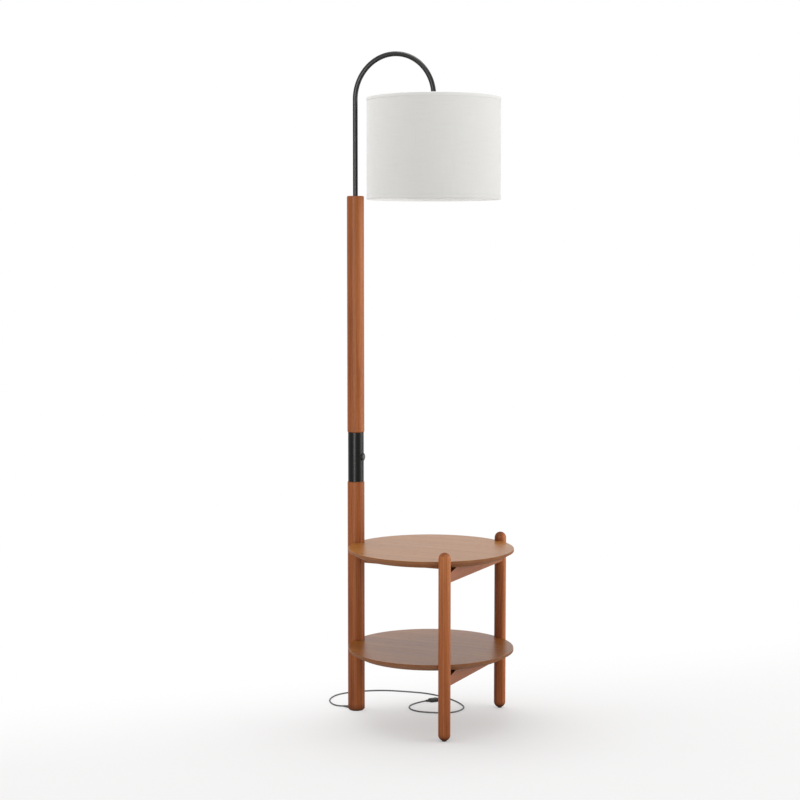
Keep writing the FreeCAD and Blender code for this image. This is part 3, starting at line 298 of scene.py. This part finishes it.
unevenness = {
    "cloudScale": 26,
    "fineShare": 0.5,
    "wornRange": (0.55, 1.05),
    "cloudRoughness": 0.12,
    "fineRoughness": 0.06,
    "bumpStrength": 0.35,
}
finishes = {                  # not metallic, and specular 0.5, where a finish doesn't say
    "blackCoat": {"colour": (0.0040, 0.0040, 0.0035), "worn": (0.0062, 0.0062, 0.0056),
                  "roughness": 0.33, "grain": 2600, "height": 0.000003, "specular": 0.13},
    # the sleeve's black coat, a little paler as painted light for the thin lit arm
    "armCoat": {"colour": (0.0060, 0.0060, 0.0054), "worn": (0.0085, 0.0085, 0.0077),
                "roughness": 0.42, "grain": 2600, "height": 0.000002, "specular": 0.26},
    "darkRing": {"colour": (0.006, 0.006, 0.0055), "worn": (0.010, 0.010, 0.009),
                 "roughness": 0.42, "grain": 2200, "height": 0.00003, "specular": 0.2},
    "buttonFace": {"colour": (0.075, 0.075, 0.073), "worn": (0.095, 0.095, 0.092),
                   "roughness": 0.46, "grain": 2600, "height": 0.00003, "specular": 0.25},
    "platedSteel": {"colour": (0.56, 0.56, 0.55), "worn": (0.42, 0.42, 0.41),
                    "roughness": 0.30, "grain": 700, "height": 0.00002, "metallic": 1.0},
    "brass": {"colour": (0.70, 0.47, 0.18), "worn": (0.50, 0.32, 0.12),
              "roughness": 0.28, "grain": 600, "height": 0.00002, "metallic": 1.0},
    "whiteWire": {"colour": (0.78, 0.78, 0.76), "worn": (0.70, 0.70, 0.68),
                  "roughness": 0.32, "grain": 500, "height": 0.00004},
    "bulbMetal": {"colour": (0.72, 0.72, 0.73), "worn": (0.55, 0.55, 0.56),
                  "roughness": 0.26, "grain": 500, "height": 0.00002, "metallic": 1.0},
    "blackPlastic": {"colour": (0.010, 0.010, 0.0105), "worn": (0.018, 0.018, 0.018),
                     "roughness": 0.50, "grain": 2600, "height": 0.00005, "specular": 0.3},
    "cordJacket": {"colour": (0.066, 0.066, 0.066), "worn": (0.090, 0.090, 0.088),
                   "roughness": 0.50, "grain": 1900, "height": 0.00004, "specular": 0.4},
    "felt": {"colour": (0.100, 0.074, 0.056), "worn": (0.165, 0.128, 0.100),
             "roughness": 0.95, "grain": 1300, "height": 0.00040, "specular": 0.1},
    "linerFilm": {"colour": (0.92, 0.915, 0.895), "worn": (0.88, 0.875, 0.855),
                  "roughness": 0.40, "grain": 160, "height": 0.00004},
    "beech": {"colour": (0.56, 0.36, 0.20), "worn": (0.42, 0.25, 0.13),
              "roughness": 0.60, "grain": 900, "height": 0.00008, "specular": 0.4},
}
finishPieces = {
    "blackCoat": ("sleeve", "lampholder_cap"),
    "armCoat": ("arm_tube", "arm_bush"),
    "darkRing": ("switch_bezel",),
    "buttonFace": ("switch_button",),
    "platedSteel": ("coupler_lower", "coupler_upper", "arm_nipple", "nipple_nut",
                    "shelf_screws_upper", "shelf_screws_lower", "lampholder_contact"),
    "whiteWire": ("shade_spider", "shade_top_wire", "shade_bottom_wire"),
    "brass": ("insert_lower", "insert_upper", "lampholder_shell", "plug_blades"),
    "bulbMetal": ("bulb_cap",),
    "blackPlastic": ("switch_body", "lampholder_barrel", "shade_clamp_ring"),
    "cordJacket": ("lead_lower", "lead_upper"),
    "felt": ("post_pad", "leg_pads"),
    "linerFilm": ("shade_liner",),
    "beech": ("rail_dowels_upper", "rail_dowels_lower"),
}


def makeFinish(name):
    look = {"metallic": 0.0, "specular": 0.5, **finishes[name]}
    paint = Paint(name)
    place = paint.place()
    fine = paint.noise(place, look["grain"])
    cloudy = paint.noise(place, unevenness["cloudScale"], detail=3, rough=0.6)
    worn = paint.between(cloudy + fine * unevenness["fineShare"], *unevenness["wornRange"])
    clouds, specks = unevenness["cloudRoughness"], unevenness["fineRoughness"]
    return paint.finish(
        baseColor=paint.blend(worn, look["colour"], look["worn"]),
        metallic=look["metallic"],
        roughness=cloudy * clouds + fine * specks + (look["roughness"] - (clouds + specks) / 2),
        specularIORLevel=look["specular"],
        normal=paint.bump(fine, unevenness["bumpStrength"], look["height"]))


frosted = {
    "colour": (0.90, 0.90, 0.88),
    "etched": (0.84, 0.84, 0.81),
    "grain": 1800,
    "roughness": 0.34,
    "etchedRoughness": 0.12,
    "transmission": 0.55,
    "bumpStrength": 0.15,
    "bumpDepth": 0.00003,
}


def makeFrostedGlass():
    look = frosted
    paint = Paint("frostedGlass")
    etched = paint.noise(paint.place(), look["grain"], detail=1)
    return paint.finish(
        baseColor=paint.blend(etched, look["colour"], look["etched"]),
        roughness=etched * look["etchedRoughness"] + (look["roughness"] - look["etchedRoughness"] / 2),
        transmissionWeight=look["transmission"],
        normal=paint.bump(etched, look["bumpStrength"], look["bumpDepth"]))


# The shade's cloth: a plain weave round the drum, with uneven threads, and painted light towards the
# top, at the top edge and where the hems turn in.

linen = {
    "thread": 0.00062,        # metres from thread to thread
    "threadShare": 0.22,
    "unevenThreads": [        # stretch, shift, share, roughness
        ((1500, 16, 0), (0, 0, 0), 0.34, 0.5),
        ((16, 1500, 0), (7, 3, 0), 0.36, 0.5),
        ((30, 420, 0), (1, 9, 0), 0.12, 0.65),
    ],
    "cloud": ((9, 9, 0), (4, 2, 0)),
    "cloudShare": 0.06,
    "colour": (0.826, 0.820, 0.797),
    "gap": (0.700, 0.692, 0.668),
    "stops": (0.30, 0.70),
    "inside": (0.94, 0.937, 0.920),   # painted light: paler where a hem turns in, standing in for light through the cloth
    "insideDepth": (0.0042, 0.0006),  # from the cloth's face
    "rimLightHeight": (0.012, 0.002),      # below the top, where the folded edge is a little paler, a painted highlight from above
    "rimShare": 0.30,
    "topLift": 0.13,          # painted light: the cloth is a little lighter towards the top, as if lit from above
    "roughness": 0.86,
    "weaveRoughness": 0.10,
    "specular": 0.2,
    "sheen": 0.35,
    "sheenRoughness": 0.5,
    "bumpStrength": 0.55,
    "bumpDepth": 0.00016,
}


def makeLinen(name):
    look = linen
    paint = Paint(name)
    low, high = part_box("shade_cloth")
    centre, radius = (low + high) / 2, (high.x - low.x) / 2
    x, y, z = paint.axes(paint.place())
    x, y = x - centre.x, y - centre.y
    across = paint.maths("ARCTAN2", y, x) * radius
    turn = math.pi / look["thread"]
    weave = paint.maths("SINE", across * turn) * paint.maths("SINE", z * turn) * look["threadShare"]
    flat = paint.add("ShaderNodeCombineXYZ", {}, {0: across, 1: z, 2: 0.0})
    for stretch, shift, share, rough in look["unevenThreads"]:
        weave = weave + paint.noise(paint.stretch(flat, stretch, shift), rough=rough) * share
    cloudy = paint.noise(paint.stretch(flat, *look["cloud"]))
    lowest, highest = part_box("shade_bottom_hem")[0].z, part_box("shade_top_hem")[1].z
    # painted light, paler towards the top
    litTop = paint.between(z, lowest, highest, 0.0, look["topLift"])
    colour = paint.ramp(weave + cloudy * look["cloudShare"] + litTop,
                        list(zip(look["stops"], (look["gap"], look["colour"]))))
    # painted light on the hems' inner faces
    start, end = (radius - depth for depth in look["insideDepth"])
    inside = paint.between(paint.distance(x, y), start, end, 1.0, 0.0)
    # painted highlight along the top edge
    start, end = (highest - height for height in look["rimLightHeight"])
    rim = paint.between(z, start, end, 0.0, look["rimShare"])
    return paint.finish(
        baseColor=paint.blend(inside + rim, colour, look["inside"]),
        roughness=weave * look["weaveRoughness"] + (look["roughness"] - look["weaveRoughness"] / 2),
        sheenWeight=look["sheen"],
        sheenRoughness=look["sheenRoughness"],
        specularIORLevel=look["specular"],
        normal=paint.bump(weave, look["bumpStrength"], look["bumpDepth"]))


def paintNode(name, material):
    for slot in nodes[name].material_slots:
        slot.material = material


materials = {name: makeFinish(name) for name in finishes}
for finish, names in finishPieces.items():
    for name in names:
        paintNode(name, materials[finish])
for name, (stain, *nature) in woodPieces.items():
    paintNode(name, makeWood(stain + "_" + name, name, stain, *nature))
paintNode("bulb_globe", makeFrostedGlass())
print("materials made:", len(bpy.data.materials))


# Mesh makers. Every mesh is written in the frame's own metres.

def showPiece(name, data):
    piece = bpy.data.objects.new(name, data)
    bpy.context.scene.collection.objects.link(piece)
    return piece


def makeMesh(name, points, faces, material):
    mesh = bpy.data.meshes.new(name)
    mesh.from_pydata(points, [], faces)
    mesh.validate()
    mesh.update()
    for face in mesh.polygons:
        face.use_smooth = True
    mesh.materials.append(material)
    return showPiece(name, mesh)


def ringFaces(rings, width, closed):  # quads between rings of points; closed joins last to first
    faces = []
    for ring in range(rings if closed else rings - 1):
        for step in range(width):
            here, there = ring * width, (ring + 1) % rings * width
            following = (step + 1) % width
            faces.append((here + step, here + following, there + following, there + step))
    return faces


def lathe(name, profile, centre, turns, material, nudge=None):
    points = []                       # profile is a closed loop of (radius, height)
    for turn in range(turns):
        angle = math.tau * turn / turns
        cosine, sine = math.cos(angle), math.sin(angle)
        for radius, height in profile:
            far = radius + (nudge(angle, height) if nudge else 0.0)
            points.append((centre[0] + far * cosine, centre[1] + far * sine, height))
    return makeMesh(name, points, ringFaces(turns, len(profile), True), material)


def loft(name, sections, place, material, sides):
    points = []                       # sections are (along, half width, half height, squareness)
    for along, wide, high, square in sections:
        for side in range(sides):
            angle = math.tau * side / sides
            cosine, sine = math.cos(angle), math.sin(angle)
            across = math.copysign(abs(cosine) ** (2 / square), cosine) * wide
            up = math.copysign(abs(sine) ** (2 / square), sine) * high
            points.append(place @ Vector((along, across, up)))
    faces = ringFaces(len(sections), sides, False)
    last = (len(sections) - 1) * sides
    faces.append(tuple(reversed(range(sides))))
    faces.append(tuple(range(last, last + sides)))
    return makeMesh(name, points, [tuple(reversed(face)) for face in faces], material)


def roundSections(profile):           # (along, radius) as sections of a loft; squareness 2 is round
    return [(along, radius, radius, 2.0) for along, radius in profile]


def arc(centre, size, start, end, steps):  # points of a round corner, its angles in quarter turns
    angles = [(start + (end - start) * step / steps) * math.pi / 2 for step in range(steps + 1)]
    return [(centre[0] + size * math.cos(angle), centre[1] + size * math.sin(angle))
            for angle in angles]


def dress(piece, slot, *replaced):
    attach(piece, "lamp")
    if replaced:
        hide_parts(*replaced)
    return piece


# The mains cord, its strain relief and its plug.

cordLook = {
    "diameter": 0.0038,
    "length": 0.83,
    "route": [
        (-0.036, 0.000, 0.0044), (-0.055, 0.001, 0.0023), (-0.082, 0.018, 0.0021),
        (-0.105, 0.052, 0.0021), (-0.110, 0.108, 0.0021), (-0.074, 0.159, 0.0021),
        (-0.020, 0.197, 0.0021), (0.045, 0.210, 0.0021), (0.100, 0.216, 0.0021),
        (0.163, 0.195, 0.0021), (0.209, 0.164, 0.0021), (0.246, 0.122, 0.0021),
        (0.239, 0.069, 0.0021), (0.199, 0.046, 0.0021), (0.144, 0.037, 0.0021),
        (0.111, 0.065, 0.0021), (0.109, 0.108, 0.0023), (0.130, 0.134, 0.0046)],
    "stepsRound": 6,
    "stepsAlong": 16,
}


def makeCord():
    curve = bpy.data.curves.new("cordLine", "CURVE")
    curve.dimensions = "3D"
    curve.bevel_depth = cordLook["diameter"] / 2
    curve.bevel_resolution = cordLook["stepsRound"]
    curve.resolution_u = cordLook["stepsAlong"]
    curve.use_fill_caps = True
    spline = curve.splines.new("NURBS")
    spline.points.add(len(cordLook["route"]) - 1)
    for point, place in zip(spline.points, cordLook["route"]):
        point.co = (*place, 1.0)
    spline.order_u = 3
    spline.use_endpoint_u = True
    curve.materials.append(materials["cordJacket"])
    return showPiece("mainsCord", curve)


reliefLook = {
    "inner": 0.012,           # from the post's axis, as is rim
    "rim": 0.021,
    "rootRadius": 0.0037,
    "tipRadius": 0.0025,
    "chamfer": 0.0004,
    "ribs": 4,
    "ribSteps": 8,
    "ribDepth": 0.0005,
    "ribPhase": 0.25,
    "sides": 40,
}


def makeStrainRelief():
    look = reliefLook
    exitX, exitY, exitZ = cordLook["route"][0]
    place = Matrix.Translation((-look["inner"], exitY, exitZ)) @ Matrix.Rotation(math.pi, 4, "Z")
    length, root = -exitX - look["inner"], look["rim"] - look["inner"]
    thick, thin = look["rootRadius"], look["tipRadius"]
    profile = [(0.0, thick - look["chamfer"]), (look["chamfer"], thick), (root, thick)]
    steps = look["ribs"] * look["ribSteps"]
    for step in range(1, steps + 1):
        share = step / steps
        radius = thick + (thin - thick) * share
        wave = math.sin(math.tau * (share * look["ribs"] - look["ribPhase"]))
        dip = look["ribDepth"] * max(0.0, wave) ** 0.5
        profile.append((root + (length - root) * share, radius - dip))
    return loft("strainRelief", roundSections(profile), place, materials["cordJacket"], look["sides"])


plugLook = {
    "tail": [
        (0.0, 0.0026), (0.0006, 0.0028), (0.0022, 0.0029), (0.0026, 0.0025), (0.0034, 0.0025),
        (0.0038, 0.0031), (0.0052, 0.0031), (0.0056, 0.0027), (0.0064, 0.0027), (0.0068, 0.0034),
        (0.0084, 0.0034)],
    "shoulder": [
        (0.0090, 0.0046, 0.0036, 2.2), (0.0100, 0.0072, 0.0040, 2.8),
        (0.0114, 0.0087, 0.0043, 3.4), (0.0132, 0.0094, 0.0045, 4.2)],
    "halfWide": 0.0095,
    "halfHigh": 0.0045,
    "squareness": 4.6,
    "grips": 5,
    "gripStart": 0.0150,
    "gripPitch": 0.0026,
    "gripShape": ((0.0, 0.0), (0.0004, 0.0006), (0.0010, 0.0006), (0.0014, 0.0)),
    "end": 0.033,
    "endShape": ((0.0030, 0.0), (0.0010, 0.0), (0.0004, 0.0002), (0.0001, 0.0005), (0.0, 0.0009)),
    "sides": 72,
}


def makePlug():
    look = plugLook
    last, end = (Vector(point) for point in cordLook["route"][-2:])
    heading = Matrix.Rotation(math.atan2(end.y - last.y, end.x - last.x), 4, "Z")
    place = Matrix.Translation(end) @ heading
    wide, high, square = look["halfWide"], look["halfHigh"], look["squareness"]
    sections = roundSections(look["tail"]) + look["shoulder"]
    for grip in range(look["grips"]):
        start = look["gripStart"] + grip * look["gripPitch"]
        for shift, dip in look["gripShape"]:
            sections.append((start + shift, wide - dip, high, square))
    for back, slim in look["endShape"]:
        sections.append((look["end"] - back, wide - slim, high - slim, square))
    return loft("plugBody", sections, place, materials["blackPlastic"], look["sides"])


cord = dress(makeCord(), "cord_plastic", "cord")
relief = dress(makeStrainRelief(), "cord_plastic", "cord_gland")
plug = dress(makePlug(), "cord_plastic", "plug_body")
print("cord, strain relief and plug made")


# The shade: cloth glued in one lap round the drum, and a folded hem at each edge.

shadeLook = {
    "turns": 320,
    "rows": 40,
    "thick": 0.0007,
    "lapAngle": 2.35,         # seam at the back of the photo's view
    "lapWide": 0.012,
    "lapRise": 0.00035,
    "lapFade": 0.15,          # of half its width, at each side
    "ripple": 0.00012,
    "waves": ((1.0, 5, 21), (0.6, 11, -34)),  # share, waves about the drum, rate up it
    "waveTop": 1.6,           # keeps every wave inside the drum
    "hemThick": 0.0006,
    "hemOuter": 0.0090,
    "hemRound": 0.0026,
    "hemFold": 0.0068,        # from the cloth's face to the fold's inside face
    "hemTaper": ((1.0, 0.0), (0.92, 0.0), (0.55, 0.0016), (0.2, 0.0036), (0.0, 0.0058)),
    "hemSteps": (8, 6),       # round a bend's outer and inner skin
    "hemSides": {"shade_top_hem": 0.0027, "shade_bottom_hem": 0.0070},
}


def makeShadeCloth():
    look = shadeLook
    low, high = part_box("shade_cloth")
    centre, radius = (low + high) / 2, (high.x - low.x) / 2
    heights = [low.z + (high.z - low.z) * row / look["rows"] for row in range(look["rows"] + 1)]
    profile = [(radius, height) for height in heights]
    profile += [(radius - look["thick"], height) for height in reversed(heights)]
    halfLap = look["lapWide"] / radius / 2

    def nudge(angle, height):
        off = abs((angle - look["lapAngle"] + math.pi) % math.tau - math.pi)
        cover = (halfLap * (1 + look["lapFade"]) - off) / (halfLap * look["lapFade"])
        lap = look["lapRise"] * min(1.0, max(0.0, cover))
        wave = sum(share * math.sin(angle * about + height * up) for share, about, up in look["waves"])
        return lap + look["ripple"] * (wave - look["waveTop"]) / 2

    return lathe("shadeCloth", profile, centre, look["turns"], makeLinen("linen"), nudge)


def makeHem(name, node, material):
    look = shadeLook
    low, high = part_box(node)
    centre, radius = (low + high) / 2, (high.x - low.x) / 2
    atTop = node == "shade_top_hem"
    edge, way = (high.z, -1) if atTop else (low.z, 1)
    thick, bend, side = look["hemThick"], look["hemRound"], look["hemSides"][node]
    tight = bend - thick
    inner = radius - look["hemFold"]
    outerBend, innerBend = (radius - bend, bend), (inner + bend, bend)
    outline = [(radius - thick * share, look["hemOuter"] - drop) for share, drop in look["hemTaper"]]
    outerSteps, innerSteps = look["hemSteps"]
    outline += arc(outerBend, bend, 0, -1, outerSteps) + arc(innerBend, bend, -1, -2, outerSteps)
    outline += [(inner, side), (inner + thick, side)]
    outline += arc(innerBend, tight, -2, -1, innerSteps) + arc(outerBend, tight, -1, 0, innerSteps)
    profile = [(far, edge + way * rise) for far, rise in outline]
    if not atTop:
        profile.reverse()
    return lathe(name, profile, centre, look["turns"], material)


hemCloth = makeLinen("hemCloth")
cloth = dress(makeShadeCloth(), "shade_cloth", "shade_cloth")
topHem = dress(makeHem("topHem", "shade_top_hem", hemCloth), "shade_cloth", "shade_top_hem")
bottomHem = dress(makeHem("bottomHem", "shade_bottom_hem", hemCloth), "shade_cloth", "shade_bottom_hem")
print("shade made")


# Camera at the photograph's angle.

cameraLook = {"place": (1.9752, -3.9176, 1.1484), "tilt": 85.1824, "heading": 25.3307,
              "lens": 80.116, "sensor": 36.0}


def makeCamera():
    data = bpy.data.cameras.new("camera")
    data.lens = cameraLook["lens"]
    data.sensor_width = cameraLook["sensor"]
    camera = showPiece("camera", data)
    camera.location = cameraLook["place"]
    camera.rotation_euler = (math.radians(cameraLook["tilt"]), 0, math.radians(cameraLook["heading"]))
    bpy.context.scene.camera = camera


# Floor, backdrop and soft studio light.

studio = {
    "floorColour": (0.80, 0.798, 0.794),
    "speckle": (0.85, 0.85, 0.85),
    "speckleScale": 60,
    "speckleShare": 0.25,
    "floorHalf": 9.0,
    "floorLift": 0.28,        # share of white that the floor shows everywhere
    "fade": (-0.32, 0.42),    # metres behind the post, where the floor turns white
    "fadeSlant": 0.36,
    "farFade": (1.3, 4.6),    # metres from the post, where it turns white on every side
    "worldLight": 0.80,
    "matt": {                 # lamps for matt surfaces: place, aim, width, height, watts
        "overhead": ((-0.5, 0.5, 3.6), (0.15, 0.0, 0.3), 2.6, 2.6, 42.0),
        "leftBox": ((-3.3, -0.9, 1.4), (0.1, 0.0, 1.0), 1.4, 2.4, 14.0),
        "rightBox": ((3.4, 0.8, 1.4), (0.2, 0.0, 1.0), 1.8, 2.6, 26.0),
    },
    "gloss": {                # softboxes that only shiny surfaces show
        "leftStrip": ((0.32, -3.6, 1.1), (0.0, 0.0, 0.9), 1.1, 2.8, 220.0),
        "rightSheen": ((3.2, 1.42, 1.1), (0.0, 0.0, 0.9), 2.4, 2.8, 145.0),
        "topSheen": ((0.1, 0.3, 3.7), (0.1, 0.0, 1.0), 2.4, 2.4, 95.0),
    },
    "flagged": ("shelf_upper", "shelf_lower", "arm_bush"),   # kept out of the low softboxes' glare
    "flaggedFrom": ("leftStrip", "rightSheen"),
}


def seenDirectly(paint):  # 1 for what the camera sees, straight or in metal and glass
    rays = [paint.add("ShaderNodeLightPath", output=name)
            for name in ("Is Camera Ray", "Is Glossy Ray", "Is Transmission Ray")]
    return paint.between(rays[0] + rays[1] + rays[2], 0.0, 1.0)


def makeWorld():
    world = bpy.data.worlds.new("studio")
    bpy.context.scene.world = world
    paint = Paint("studio", world)
    strength = paint.between(seenDirectly(paint), 0.0, 1.0, studio["worldLight"], 1.0)
    light = paint.add("ShaderNodeBackground", {}, {
        "Color": (1.0, 1.0, 1.0, 1.0), "Strength": strength})
    paint.add("ShaderNodeOutputWorld", {}, {"Surface": light})


def makeFloor():
    paint = Paint("paleFloor")
    x, y = paint.axes(paint.place())[:2]
    heading = math.radians(cameraLook["heading"])
    behind = y * math.cos(heading) - x * math.sin(heading)
    aside = x * math.cos(heading) + y * math.sin(heading)
    slanted = behind - aside * studio["fadeSlant"]
    near = paint.between(slanted, *studio["fade"], studio["floorLift"], 1.0, curve="SMOOTHSTEP")
    far = paint.between(paint.distance(x, y), *studio["farFade"], curve="SMOOTHSTEP")
    fade = paint.maths("MAXIMUM", near, far)
    speckle = paint.noise(paint.place(), studio["speckleScale"], detail=3) * studio["speckleShare"]
    matt = paint.add("ShaderNodeBsdfPrincipled", {}, {
        "Base Color": paint.blend(speckle, studio["floorColour"], studio["speckle"]),
        "Roughness": 1.0, "Specular IOR Level": 0.0})
    white = paint.add("ShaderNodeEmission", {}, {"Color": (1.0, 1.0, 1.0, 1.0), "Strength": 1.0})
    mixed = paint.add("ShaderNodeMixShader", {}, {0: fade * seenDirectly(paint), 1: matt, 2: white})
    paint.add("ShaderNodeOutputMaterial", {}, {"Surface": mixed})
    half = studio["floorHalf"]
    corners = [(-half, -half, 0), (half, -half, 0), (half, half, 0), (-half, half, 0)]
    floor = makeMesh("floor", corners, [(0, 1, 2, 3)], paint.owner)


def makeFlag():               # a lamp with this collection leaves its pieces unlit
    flag = bpy.data.collections.new("flagged")
    for name in studio["flagged"]:
        flag.objects.link(nodes[name])
    for member in flag.collection_objects:
        member.light_linking.link_state = "EXCLUDE"
    return flag


def makeLamps():
    flag = makeFlag()
    for kind in ("matt", "gloss"):
        for name, (place, aim, wide, high, watts) in studio[kind].items():
            data = bpy.data.lights.new(name, "AREA")
            data.shape = "RECTANGLE"
            data.size = wide
            data.size_y = high
            data.energy = watts
            lamp = showPiece(name, data)
            lamp.location = place
            lamp.rotation_euler = (Vector(aim) - Vector(place)).to_track_quat("-Z", "Y").to_euler()
            lamp.visible_diffuse = kind == "matt"
            lamp.visible_glossy = kind == "gloss"
            if name in studio["flaggedFrom"]:
                lamp.light_linking.receiver_collection = flag


makeCamera()
makeWorld()
makeFloor()
makeLamps()
bpy.context.scene.view_settings.view_transform = "Standard"
print("camera, floor and light made")
